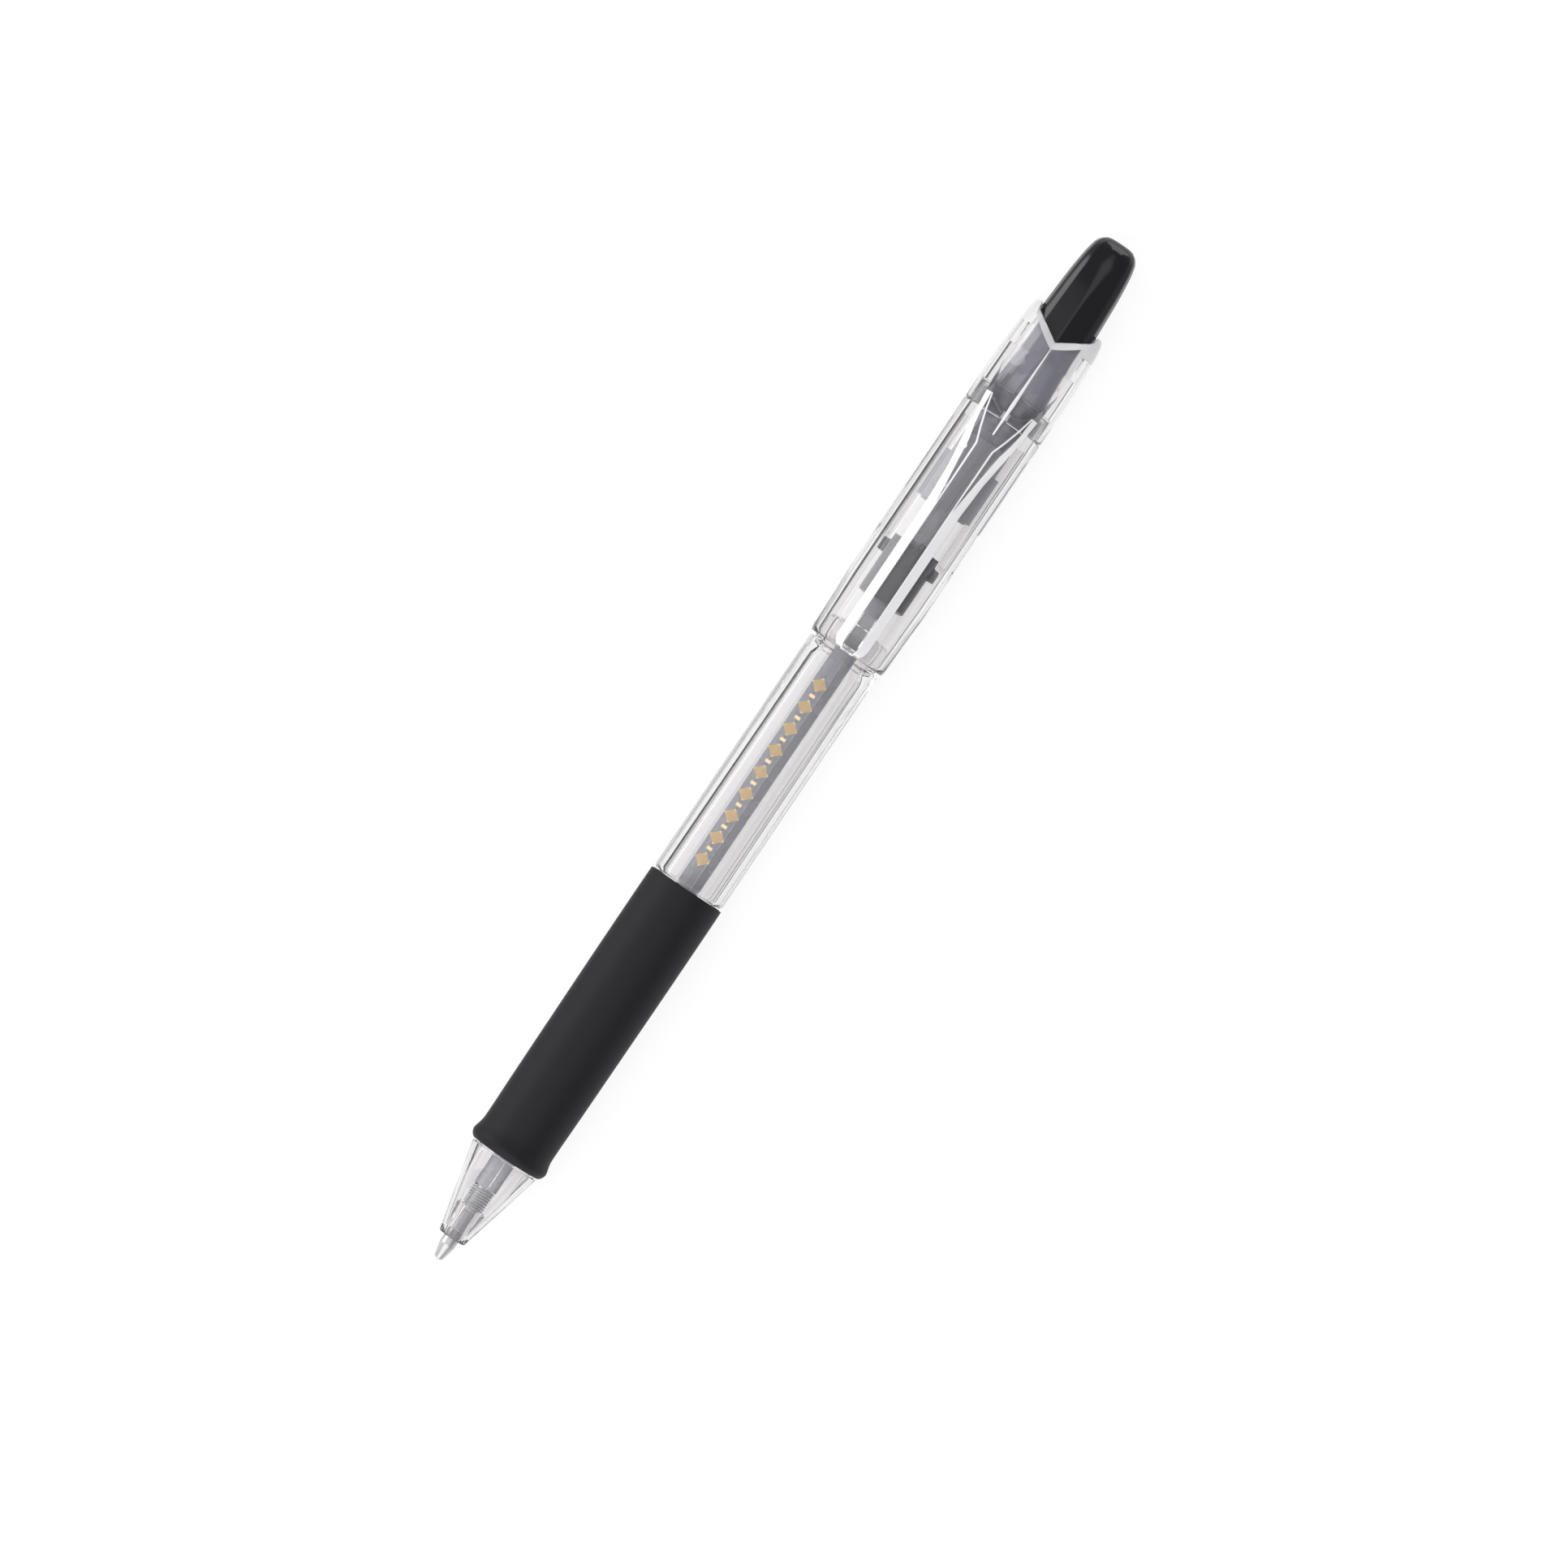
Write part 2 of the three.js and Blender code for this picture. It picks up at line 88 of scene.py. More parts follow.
# Stations and radii taken from the frame
PEN_LENGTH = ends("knock_button")[1]
NOSE_END, SPIGOT_END = ends("front_barrel")
GRIP_START, GRIP_END = ends("grip_sleeve")
REAR_START, CAP_SPIGOT_END = ends("rear_barrel")
CAP_START, CAP_END = ends("clip_cap")
CLIP_END, CLIP_ROOT = ends("pocket_clip")
TUBE_START, TUBE_END = ends("ink_tube")
INK_START, INK_END = ends("ink_column")
FOLLOWER_START, FOLLOWER_END = ends("ink_follower")
TIP_START, TIP_BACK = ends("writing_tip")
PILOT_START, PLUNGER_END = ends("knock_plunger")
STEM_START = ends("knock_button")[0]
ROTOR_START = ends("cam_rotor")[0]
BODY_RADIUS = radius_of("rear_barrel")
FRONT_RADIUS = radius_of("front_barrel")
TUBE_RADIUS = radius_of("ink_tube")
INK_RADIUS = radius_of("ink_column")
TIP_RADIUS = radius_of("writing_tip")
BALL_RADIUS = radius_of("writing_ball")
CLIP_TOP = (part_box("pocket_clip")[1].z - AXIS_HEIGHT) / MM - 0.05

# Moulded details
NOSE_FACE_RADIUS = 1.75
NOSE_BACK = 14.3
NOSE_RADIUS = 4.5
SEAT_RADIUS = 4.0
SHOULDER = 53.2
FRONT_BORE = 3.6
FRONT_BORE_END = 84.5
NOSE_BORE = 2.94
SPIGOT_START = 86.4
SPIGOT_RADIUS = 4.25
SPIGOT_BORE = 2.95
SPIGOT_BORE_START = 85.5
RIB_RADIUS = 3.0
RIB_HALF_DEG = 6.1
TIP_HOLE = 1.15
SPRING_SEAT = 7.4
COLLAR_BACK = 4.3
COLLAR_BORE = 1.5
FIN_HALF_DEG = 7.0
REAR_BORE = 4.33
CAP_SPIGOT_START = 119.9
CAP_SPIGOT_RADIUS = 4.78
GUIDE_RADIUS = 3.3
GUIDE_HALF_DEG = 6.0
GUIDE_FRONT = 100.8
GUIDE_BACK = 118.0
HELIX_PER_DEG = 5.5 / 45  # millimetres along the pen for each degree
CAP_SOCKET = 4.84
CAP_SOCKET_END = 123.0
CAP_BORE = 4.4
CAP_STOP = 128.3
CAP_CURVE = 5.1
CLIP_UNDER = 6.55
PAD_TOP = CLIP_UNDER + 0.3
NOTCH_POINT = 131.0
NOTCH_EDGE = 133.5
NOTCH_HALF_WIDTH = 3.75
NOTCH_BEVEL = 1.1
NECK_END = 122.1
FLANGE_START = 120.2
FLANGE_RADIUS = 4.2
STEM_RADIUS = 1.7
BUTTON_HALF_WIDTH = 3.75
BUTTON_GAP = 0.14
PLUNGER_START = 107.0
PLUNGER_RADIUS = 3.13
SPLINE_START = 107.2
SPLINE_END = 113.6
SPLINE_RADIUS = 4.0
SPLINE_HALF_DEG = 15.0
DRIVER_TEETH = 102.0
DRIVER_RADIUS = 2.1
PILOT_RADIUS = 1.0
ROTOR_TEETH = 101.25
ROTOR_RIB_FRONT = 99.2
ROTOR_RIB_GAP = 0.12
TEETH_HEIGHT = 0.6
TEETH_COUNT = 8
TOOTH_RISE = 0.9  # shares of a tooth
TOOTH_FALL = 0.1
SPRING_RADIUS = 1.3
SPRING_WIRE = 0.1
SPRING_TURNS = 8
SPRING_STEPS_PER_TURN = 40
SPRING_WIRE_SIDES = 10

# Printed mark: each figure is an outline of (station, across) from its own middle
MARK_COUNT = 17
MARK_START = 57.0
MARK_PITCH = 1.55
MARK_ACROSS = 0.45
MARK_THICKNESS = 0.02
BAR = [(-0.2, -0.35), (0.2, -0.35), (0.2, 0.35), (-0.2, 0.35)]
LOZENGE = [(-0.95, 0), (0, -1.0), (0.95, 0), (0, 1.0)]

# Studio: the colour of the sky, from the horizon at 0 to straight overhead at 1
SKY = [
    (0.0, (0.5, 0.5, 0.51, 1)),
    (0.7, (0.22, 0.22, 0.23, 1)),
    (0.84, (0.24, 0.24, 0.25, 1)),
    (0.92, (0.9, 0.9, 0.93, 1)),
]
FLAG_LIFT = 0.05
TABLE_HALF = 3.0  # metres

SIDES = 128
EDGE_DEG = 0.25  # from the edge of a rib to the mesh columns on either side
SHARP_DEG = 38
INWARD = -0.8  # faces whose normal turns this far towards the axis are bore


# ---------- mesh building ----------

def place(station, across, up):
    """A point of the pen in the row frame."""
    return (PEN_START + station * MM, across * MM, AXIS_HEIGHT + up * MM)


def link_mesh(name, corners, faces):
    """A new object from corners in the row frame."""
    mesh = bpy.data.meshes.new(name)
    mesh.from_pydata(corners, [], faces)
    mesh.update()
    piece = bpy.data.objects.new(name, mesh)
    bpy.context.scene.collection.objects.link(piece)
    return piece


def make_object(name, points, faces):
    """A new object from points of the pen."""
    return link_mesh(name, [place(*point) for point in points], faces)


def shade(piece, degrees=SHARP_DEG):
    piece.data.shade_smooth()
    piece.data.set_sharp_from_angle(angle=math.radians(degrees))


def rounded(points, size, steps=3, closed=False):
    """The same outline with each corner turned into a short curve of steps pieces. The size of
    the curve is one number, or a list with a number for each corner."""
    made = []
    count = len(points)
    sizes = size if isinstance(size, list) else [size] * count
    for i, corner in enumerate(points):
        if not closed and i in (0, count - 1):
            made.append(corner)
            continue
        corner = Vector(corner)
        sides = [Vector(points[i - 1]) - corner, Vector(points[(i + 1) % count]) - corner]
        start, end = [corner + side * min(0.45, sizes[i] / side.length) for side in sides]
        for step in range(steps + 1):
            t = step / steps
            made.append(tuple(start * (1 - t) ** 2 + corner * 2 * t * (1 - t) + end * t * t))
    return made


def columns(edges=()):
    """The angles of a revolved mesh, with a close pair of columns at each edge of a rib."""
    made = {i * 360 / SIDES for i in range(SIDES)}
    for edge in edges:
        made = {angle for angle in made if abs((angle - edge + 180) % 360 - 180) > 2 * EDGE_DEG}
    made |= {(edge + side) % 360 for edge in edges for side in (-EDGE_DEG, EDGE_DEG)}
    return sorted(made)


def at(value, angle):
    """A value that may be a function of the angle."""
    return value(angle) if callable(value) else value


def revolve(name, outline, angles=None):
    """Turns an outline about the axis into a closed mesh. A station or a radius may be a function
    of the angle. An outline that leaves the axis closes on itself."""
    angles = angles or columns()
    turns = len(angles)
    points, faces, rows = [], [], []
    for station, radius in outline:
        if radius == 0:
            rows.append([len(points)] * turns)
            points.append((station, 0, 0))
            continue
        rows.append(range(len(points), len(points) + turns))
        for angle in angles:
            r = at(radius, angle)
            turn = math.radians(angle)
            points.append((at(station, angle), r * math.cos(turn), r * math.sin(turn)))
    pairs = list(zip(rows, rows[1:]))
    if outline[0][1] != 0:
        pairs.append((rows[-1], rows[0]))
    for low, high in pairs:
        for i in range(turns):
            j = (i + 1) % turns
            corners = dict.fromkeys((low[i], high[i], high[j], low[j]))
            if len(corners) > 2:
                faces.append(tuple(corners))
    return make_object(name, points, faces)


def loft(name, rings):
    """Skins over rings of (station, across, up) points and closes both ends."""
    count = len(rings[0])
    points = [point for ring in rings for point in ring]
    faces = [tuple(range(count))[::-1], tuple(range(len(points) - count, len(points)))]
    for ring in range(len(rings) - 1):
        for i in range(count):
            a = ring * count + i
            b = ring * count + (i + 1) % count
            faces.append((a, b, b + count, a + count))
    return make_object(name, points, faces)


def outward(piece):
    """Turns every face of a closed mesh to point out."""
    shape = bmesh.new()
    shape.from_mesh(piece.data)
    bmesh.ops.recalc_face_normals(shape, faces=shape.faces)
    shape.to_mesh(piece.data)
    shape.free()
    return piece


def combine(piece, tool, operation):
    """Joins a tool to the piece, or cuts it away, and removes the tool."""
    modifier = piece.modifiers.new("combine", "BOOLEAN")
    modifier.object = tool
    modifier.operation = operation
    modifier.solver = "EXACT"
    graph = bpy.context.evaluated_depsgraph_get()
    made = bpy.data.meshes.new_from_object(piece.evaluated_get(graph))
    piece.modifiers.clear()
    piece.data = made
    bpy.data.objects.remove(tool)
    return piece


def between(rows, steps):
    """Rows of numbers with steps - 1 more rows in each gap, on a smooth curve through them."""
    made = []
    for i in range(len(rows) - 1):
        before, here, there, after = (rows[max(i - 1, 0)], rows[i], rows[i + 1],
                                      rows[min(i + 2, len(rows) - 1)])
        for step in range(steps):
            t = step / steps
            row = []
            for p, a, b, n in zip(before, here, there, after):
                start, end = (b - p) / 2, (n - a) / 2
                row.append((2 * t**3 - 3 * t**2 + 1) * a + (t**3 - 2 * t**2 + t) * start
                           + (3 * t**2 - 2 * t**3) * b + (t**3 - t**2) * end)
            made.append(tuple(row))
    return made + [tuple(rows[-1])]


def mirrored(half):
    """A closed ring from its half on the +Y side, listed from the lowest point to the highest."""
    other = [(-across, up) for across, up in reversed(half) if across > 0]
    return list(half) + other


def near(angle, count, first, half):
    """Whether an angle lies on one of count ribs, the first of which stands at first."""
    pitch = 360 / count
    return abs((angle - first + pitch / 2) % pitch - pitch / 2) < half


def rib_edges(count, first, half):
    """The angles of both edges of count ribs, the first of which stands at first."""
    return [(first + i * 360 / count + side) % 360 for i in range(count) for side in (-half, half)]


def show(piece, node, body, slot, *looks):
    """Shades a piece, gives it its materials and its body, and hides its CAD node. The slot is not
    used.
    """
    outward(piece)
    shade(piece)
    for look in looks:
        piece.data.materials.append(look)
    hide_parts(node)
    if body:
        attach(piece, body)
    return piece


def show_clear(piece, node, body):
    """Shows a clear moulding, with a stronger painted edge shade on the faces that look towards the
    axis.
    """
    show(piece, node, body, "clear_plastic", CLEAR, CLEAR_BORE_PAINTED_SHADE)
    for face in piece.data.polygons:
        across, up = face.center.y, face.center.z - AXIS_HEIGHT
        if face.normal.y * across + face.normal.z * up < INWARD * math.hypot(across, up):
            face.material_index = 1
    return piece


# ---------- materials ----------

def add(tree, kind, **values):
    """A new node, with its sockets or its properties set."""
    made = tree.nodes.new(kind)
    for name, value in values.items():
        socket = name.replace("_", " ")
        if socket in made.inputs:
            made.inputs[socket].default_value = value
        else:
            setattr(made, name, value)
    return made


def material(name, colours, roughness, grain, depth, **sockets):
    """A moulded or metal surface. Its colour and its roughness wander between two values with a
    broad noise, and a fine noise of grain millimetres gives it relief of depth millimetres."""
    look = bpy.data.materials.new(name)
    look.use_nodes = True
    tree = look.node_tree
    shader = tree.nodes["Principled BSDF"]
    for socket, value in sockets.items():
        shader.inputs[socket.replace("_", " ")].default_value = value
    place_of = add(tree, "ShaderNodeTexCoord")
    broad = add(tree, "ShaderNodeTexNoise", Scale=0.25 / (grain * MM), Detail=3.0)
    fine = add(tree, "ShaderNodeTexNoise", Scale=1 / (grain * MM), Detail=4.0)
    mix = add(tree, "ShaderNodeMix", data_type="RGBA")
    mix.inputs[6].default_value = (*colours[0], 1)
    mix.inputs[7].default_value = (*colours[1], 1)
    spread = add(tree, "ShaderNodeMapRange", To_Min=roughness[0], To_Max=roughness[1])
    bump = add(tree, "ShaderNodeBump", Distance=depth * MM)
    link = tree.links.new
    link(place_of.outputs["Object"], broad.inputs["Vector"])
    link(place_of.outputs["Object"], fine.inputs["Vector"])
    link(broad.outputs["Fac"], mix.inputs[0])
    link(mix.outputs[2], shader.inputs["Base Color"])
    link(broad.outputs["Fac"], spread.inputs["Value"])
    link(spread.outputs["Result"], shader.inputs["Roughness"])
    link(fine.outputs["Fac"], bump.inputs["Height"])
    link(bump.outputs["Normal"], shader.inputs["Normal"])
    return look


def clear_material(name, edge):
    """Clear plastic whose colour is painted darker where it is seen edge on, as painted shade for the
    dark lines that refraction draws along its edges: edge is its colour there.
    """
    look = material(name, [(0.86, 0.85, 0.855), (0.89, 0.88, 0.885)],
                    roughness=(0.0, 0.02), grain=1.6, depth=0.0015,
                    IOR=1.5, Transmission_Weight=1.0)
    tree = look.node_tree
    shader = tree.nodes["Principled BSDF"]
    face_on = shader.inputs["Base Color"].links[0].from_socket
    # Painted shade: the colour turns darker as the surface is seen more edge on.
    facing = add(tree, "ShaderNodeLayerWeight", Blend=0.5)
    ramp = add(tree, "ShaderNodeMapRange", From_Min=0.55, From_Max=0.95)
    painted_edge_shade = add(tree, "ShaderNodeMix", data_type="RGBA")
    painted_edge_shade.inputs[7].default_value = (edge, edge, edge * 1.04, 1)
    tree.links.new(facing.outputs["Facing"], ramp.inputs["Value"])
    tree.links.new(ramp.outputs["Result"], painted_edge_shade.inputs[0])
    tree.links.new(face_on, painted_edge_shade.inputs[6])
    tree.links.new(painted_edge_shade.outputs[2], shader.inputs["Base Color"])
    return look


# Both clear looks carry painted edge shade, and the one for the bores is darker.
CLEAR = clear_material("clear_plastic", edge=0.7)
CLEAR_BORE_PAINTED_SHADE = clear_material("clear_bore_painted_shade", edge=0.3)
# A flat white painted in place of the bright light that the clip's sloped sides, the edges of its flat
# top and the head's ridge refract and reflect.
PAINTED_HIGHLIGHT_WHITE = material("clip_painted_highlight", [(0.94, 0.94, 0.95), (0.97, 0.97, 0.975)],
                   roughness=(0.3, 0.4), grain=0.7, depth=0.003,
                   IOR=1.5, Transmission_Weight=0.12)
RUBBER = material("grip_rubber", [(0.0085, 0.0072, 0.0095), (0.0125, 0.0108, 0.0145)],
                  roughness=(0.5, 0.62), grain=0.22, depth=0.012, Specular_IOR_Level=0.22)
SMOKE = material("smoke_plastic", [(0.007, 0.006, 0.008), (0.010, 0.009, 0.012)],
                 roughness=(0.08, 0.14), grain=0.9, depth=0.0015, IOR=1.5)
# The knock's dark smoke plastic painted light grey inside the cap: painted reflection of the cap's
# clear walls over it.
NECK_PAINTED_REFLECTION = material("neck_painted_reflection", [(0.38, 0.385, 0.45), (0.43, 0.435, 0.51)],
                      roughness=(0.25, 0.35), grain=0.8, depth=0.002)
# The black rotor painted dark grey: painted reflection of the clear barrel over it.
ROTOR_PAINTED_REFLECTION = material("rotor_painted_reflection", [(0.13, 0.13, 0.145), (0.155, 0.155, 0.173)],
                      roughness=(0.32, 0.42), grain=0.5, depth=0.003)
# The knock's dark plunger painted pale lilac grey: painted reflection of the clear barrel over it.
PLUNGER_PAINTED_REFLECTION = material("plunger_painted_reflection", [(0.5, 0.505, 0.55), (0.55, 0.555, 0.605)],
                        roughness=(0.3, 0.4), grain=0.5, depth=0.003)
MILKY = material("refill_tube", [(0.62, 0.635, 0.69), (0.68, 0.695, 0.75)],
                 roughness=(0.22, 0.32), grain=0.9, depth=0.002,
                 IOR=1.4, Transmission_Weight=0.12)
INK = material("ink", [(0.006, 0.006, 0.01), (0.012, 0.012, 0.018)],
               roughness=(0.05, 0.12), grain=0.8, depth=0.001)
GREASE = material("follower_grease", [(0.6, 0.6, 0.56), (0.7, 0.7, 0.66)],
                  roughness=(0.2, 0.35), grain=0.4, depth=0.01)
NICKEL = material("tip_metal", [(0.50, 0.49, 0.495), (0.60, 0.59, 0.595)],
                  roughness=(0.28, 0.4), grain=0.12, depth=0.004, Metallic=0.7)
CARBIDE = material("ball_metal", [(0.55, 0.55, 0.57), (0.66, 0.66, 0.68)],
                   roughness=(0.3, 0.42), grain=0.08, depth=0.003, Metallic=0.6)
STEEL = material("spring_steel", [(0.5, 0.51, 0.53), (0.68, 0.69, 0.71)],
                 roughness=(0.38, 0.5), grain=0.1, depth=0.002, Metallic=0.6)
# A pale grey painted in place of the light that the notch's bevel and the cap's front rim refract.
PAINTED_PALE_LIGHT = material("rim_painted_light", [(0.74, 0.73, 0.735), (0.8, 0.79, 0.795)],
                  roughness=(0.25, 0.35), grain=0.7, depth=0.003,
                  IOR=1.5, Transmission_Weight=0.12)
TABLE = material("table", [(0.21, 0.21, 0.212), (0.22, 0.22, 0.222)],
                 roughness=(0.7, 0.8), grain=8.0, depth=0.001,
                 Emission_Color=(1, 1, 1, 1), Emission_Strength=0.82)
FLAG_BLACK = material("flag_cloth", [(0.01, 0.01, 0.01), (0.015, 0.015, 0.015)],
                      roughness=(0.8, 0.9), grain=2.0, depth=0.01)
GOLD = material("gold_foil", [(0.88, 0.66, 0.36), (0.97, 0.78, 0.50)],
                roughness=(0.35, 0.5), grain=0.15, depth=0.002, Metallic=0.1)


# ---------- barrels and grip ----------

def front_shell():
    """The nose cone and the front barrel, with four ribs in the bore and four spring fins."""
    def ribbed(radius):
        return lambda angle: RIB_RADIUS if near(angle, 4, 0, RIB_HALF_DEG) else radius

    def finned(radius):
        return lambda angle: TIP_HOLE + 0.05 if near(angle, 4, 45, FIN_HALF_DEG) else radius

    nose_slope = (NOSE_BORE - COLLAR_BORE) / (TUBE_START - COLLAR_BACK)
    seat_bore = COLLAR_BORE + nose_slope * (SPRING_SEAT - COLLAR_BACK)
    outside = rounded([
        (NOSE_END + 0.3, TIP_HOLE),
        (NOSE_END, TIP_HOLE + 0.1),
        (NOSE_END, NOSE_FACE_RADIUS),
        (NOSE_BACK, NOSE_RADIUS),
        (NOSE_BACK, SEAT_RADIUS),
        (SHOULDER, SEAT_RADIUS),
        (SHOULDER, FRONT_RADIUS - 0.15),
        (SHOULDER + 0.4, FRONT_RADIUS),
        (SPIGOT_START, FRONT_RADIUS),
        (SPIGOT_START, SPIGOT_RADIUS),
        (SPIGOT_END - 0.5, SPIGOT_RADIUS),
        (SPIGOT_END, SPIGOT_RADIUS - 0.4),
        (SPIGOT_END, SPIGOT_BORE + 0.3),
        (SPIGOT_END - 0.5, SPIGOT_BORE),
        (SPIGOT_BORE_START, SPIGOT_BORE),
    ], 0.12)
    bore = [
        (FRONT_BORE_END, ribbed(FRONT_BORE)),
        (NOSE_BACK, ribbed(FRONT_BORE)),
        (TUBE_START, NOSE_BORE),
        (SPRING_SEAT + 0.04, seat_bore),
        (SPRING_SEAT, finned(seat_bore)),
        (COLLAR_BACK + 0.04, finned(COLLAR_BORE)),
        (COLLAR_BACK, COLLAR_BORE),
        (COLLAR_BACK, TIP_HOLE),
    ]
    edges = rib_edges(4, 0, RIB_HALF_DEG) + rib_edges(4, 45, FIN_HALF_DEG)
    shell = revolve("front_shell", outside + bore, columns(edges))
    return show_clear(shell, "front_barrel", "barrel")


def grip():
    """The soft sleeve, with a low bead at its front end."""
    profile = between([
        (GRIP_START, 4.62),
        (GRIP_START + 0.3, 4.92),
        (GRIP_START + 0.8, 5.13),
        (GRIP_START + 1.3, 5.08),
        (GRIP_START + 2.1, 4.88),
        (GRIP_START + 3.4, 4.79),
        (24, 4.85),
        (33, 4.9),
        (42, 4.945),
        (GRIP_END - 1, 4.945),
        (GRIP_END - 0.35, 4.88),
        (GRIP_END, 4.66),
    ], 6)
    inside = SEAT_RADIUS + 0.05
    outline = [(GRIP_START, inside), *profile, (GRIP_END, inside)]
    return show(revolve("grip", outline), "grip_sleeve", "barrel", "grip_rubber", RUBBER)


def guide_front(angle):
    """The helical front end of the guide rib nearest to an angle."""
    return GUIDE_FRONT + HELIX_PER_DEG * ((angle + 45) % 90 - 45)


def rear_shell():
    """The rear barrel, with four guide ribs that start in helical ramps."""
    def guided(angle):
        return GUIDE_RADIUS if near(angle, 4, 0, GUIDE_HALF_DEG) else REAR_BORE

    def ramp(extra):
        def station(angle):
            return (guide_front(angle) if near(angle, 4, 0, GUIDE_HALF_DEG) else GUIDE_FRONT) + extra
        return station

    outside = rounded([
        (REAR_START + 0.4, REAR_BORE),
        (REAR_START, REAR_BORE + 0.1),
        (REAR_START, 4.95),
        (REAR_START + 0.5, 5.12),
        (REAR_START + 4.5, 5.2),
        (REAR_START + 8.2, BODY_RADIUS),
        (CAP_SPIGOT_START, BODY_RADIUS),
        (CAP_SPIGOT_START, CAP_SPIGOT_RADIUS),
        (CAP_SPIGOT_END, CAP_SPIGOT_RADIUS),
        (CAP_SPIGOT_END, REAR_BORE),
        (GUIDE_BACK + 0.1, REAR_BORE),
    ], 0.15)
    bore = [
        (GUIDE_BACK, guided),
        (ramp(0.06), guided),
        (ramp(0), REAR_BORE),
    ]
    shell = revolve("rear_shell", outside + bore, columns(rib_edges(4, 0, GUIDE_HALF_DEG)))
    return show_clear(shell, "rear_barrel", "barrel")


# ---------- cap and clip ----------

def button_ring(station, half_width, ridge=0.15, gap=0.0):
    """The button's section: a shallow roof above and below, whose ridges are rounded by ridge,
    and narrow sides."""
    size = half_width / BUTTON_HALF_WIDTH
    ring = mirrored([
        (0, -4.0 * size - gap),
        (2.6 * size + gap / 2, -3.1 * size - gap),
        (3.4 * size + gap / 2, -2.4 * size - gap),
        (half_width + gap, -1.2 * size),
        (half_width + gap, 1.2 * size),
        (3.4 * size + gap / 2, 2.4 * size + gap),
        (2.6 * size + gap / 2, 3.1 * size + gap),
        (0, 4.0 * size + gap),
    ])
    top = 7
    sizes = [ridge if i in (0, top) else 0.2 * size for i in range(len(ring))]
    return [(station, *point) for point in rounded(ring, sizes, 4, closed=True)]


def notch_station(across):
    """The station of the cap's V-shaped front edge at a distance from the middle."""
    return NOTCH_POINT + (NOTCH_EDGE - NOTCH_POINT) * (abs(across) / NOTCH_HALF_WIDTH) ** 1.15


def arm_ring(station, flat, brow, half_width, ridge, eave, brow_up, shoulder, under, keel, soft):
    """The clip's section. Its top has a ridge rounded by soft, a shallow chamfer from flat to brow
    and a steeper one from there to half_width. Its underside slopes in to keel."""
    ring = mirrored([
        (0, under),
        (keel, under),
        (half_width, shoulder - 0.12),
        (half_width, shoulder),
        (brow, brow_up),
        (flat, eave),
        (0, ridge),
    ])
    sizes = [0.06] * 5 + [0.12, soft, 0.12] + [0.06] * 4
    return [(station, *point) for point in rounded(ring, sizes, 2, closed=True)]


def flat_at(rows, station):
    """The half width of the clip's flat top at a station, from its rows."""
    for low, high in zip(rows, rows[1:]):
        if station <= high[0]:
            share = (station - low[0]) / (high[0] - low[0])
            return low[1] + (high[1] - low[1]) * share
    return 0.0


def notch_ring(slant, up):
    """One level of the tool that cuts the cap's V-shaped front edge. It follows the curve of the
    cap from up at the middle."""
    outline = [(notch_station(across), across) for across in (0, -1, -2, -3, -NOTCH_HALF_WIDTH)]
    outline += [(CAP_END + 2, -4.4), (CAP_END + 2, 4.4)]
    outline += [(notch_station(across), across) for across in (NOTCH_HALF_WIDTH, 3, 2, 1)]
    return [(station - slant, across, up - CAP_CURVE + math.sqrt(CAP_CURVE ** 2 - across ** 2))
            for station, across in outline]


def cap_blank():
    """The cap's outer shape, still solid."""
    return revolve("cap_with_clip", rounded([
        (CAP_START, 0),
        (CAP_START, BODY_RADIUS),
        (124, BODY_RADIUS),
        (128.7, 5.225),
        (131.1, 5.13),
        (132.3, 5.035),
        (NOTCH_EDGE, 4.865),
        (CAP_END, 4.6),
        (CAP_END, 0),
    ], 0.35, 4))


def clip_rows():
    """The clip's sections from its free end to the back of its head, as arm_ring() takes them."""
    top, under = CLIP_TOP, CLIP_UNDER
    tip_rows = between([
        (CLIP_END, 0.7, 0.75, 1.1, top - 0.3, top - 0.3, top - 0.34, 7.2, 6.7, 0.6, 0.06),
        (CLIP_END + 0.4, 0.95, 1.0, 1.7, top - 0.05, top - 0.07, top - 0.1, 7.3, 6.6, 0.9, 0.06),
        (CLIP_END + 1.3, 1.1, 1.16, 2.1, top + 0.02, top, top - 0.03, 7.3, under, 1.05, 0.06),
        (CLIP_END + 4, 1.1, 1.16, 2.15, top + 0.03, top, top - 0.03, 7.3, under, 1.1, 0.06),
        (107.5, 1.1, 1.16, 2.2, top + 0.03, top, top - 0.03, 7.3, under, 1.1, 0.06),
    ], 4)
    head_rows = [
        (112, 1.1, 1.65, 2.45, top + 0.03, top, 7.9, 7.3, under, 1.3, 0.06),
        (115.8, 1.12, 2.1, 2.95, top + 0.03, top, 7.8, 7.1, under, 1.7, 0.08),
        (117.6, 1.75, 2.55, 3.15, top + 0.06, 8.0, 7.65, 7.05, 6.5, 2.1, 0.1),
        (119.8, 2.4, 2.85, 3.4, top + 0.05, 7.5, 7.3, 6.65, 6.1, 2.7, 0.16),
        (CLIP_ROOT, 2.87, 3.0, 3.6, 7.95, 6.9, 6.8, 5.6, 4.4, 3.5, 0.25),
        (123.3, 3.3, 3.35, 3.75, 7.55, 5.7, 5.6, 4.6, 3.6, 3.7, 0.22),
        (125.9, 3.87, 3.88, 3.9, 6.7, 3.75, 3.7, 3.6, 3.3, 3.85, 0.16),
        (128, 1.95, 1.96, 2.0, 5.95, 4.95, 4.93, 4.85, 4.2, 1.95, 0.1),
        (130.2, 0.3, 0.32, 0.35, 5.2, 5.15, 5.14, 5.0, 4.6, 0.3, 0.05),
    ]
    return tip_rows + head_rows


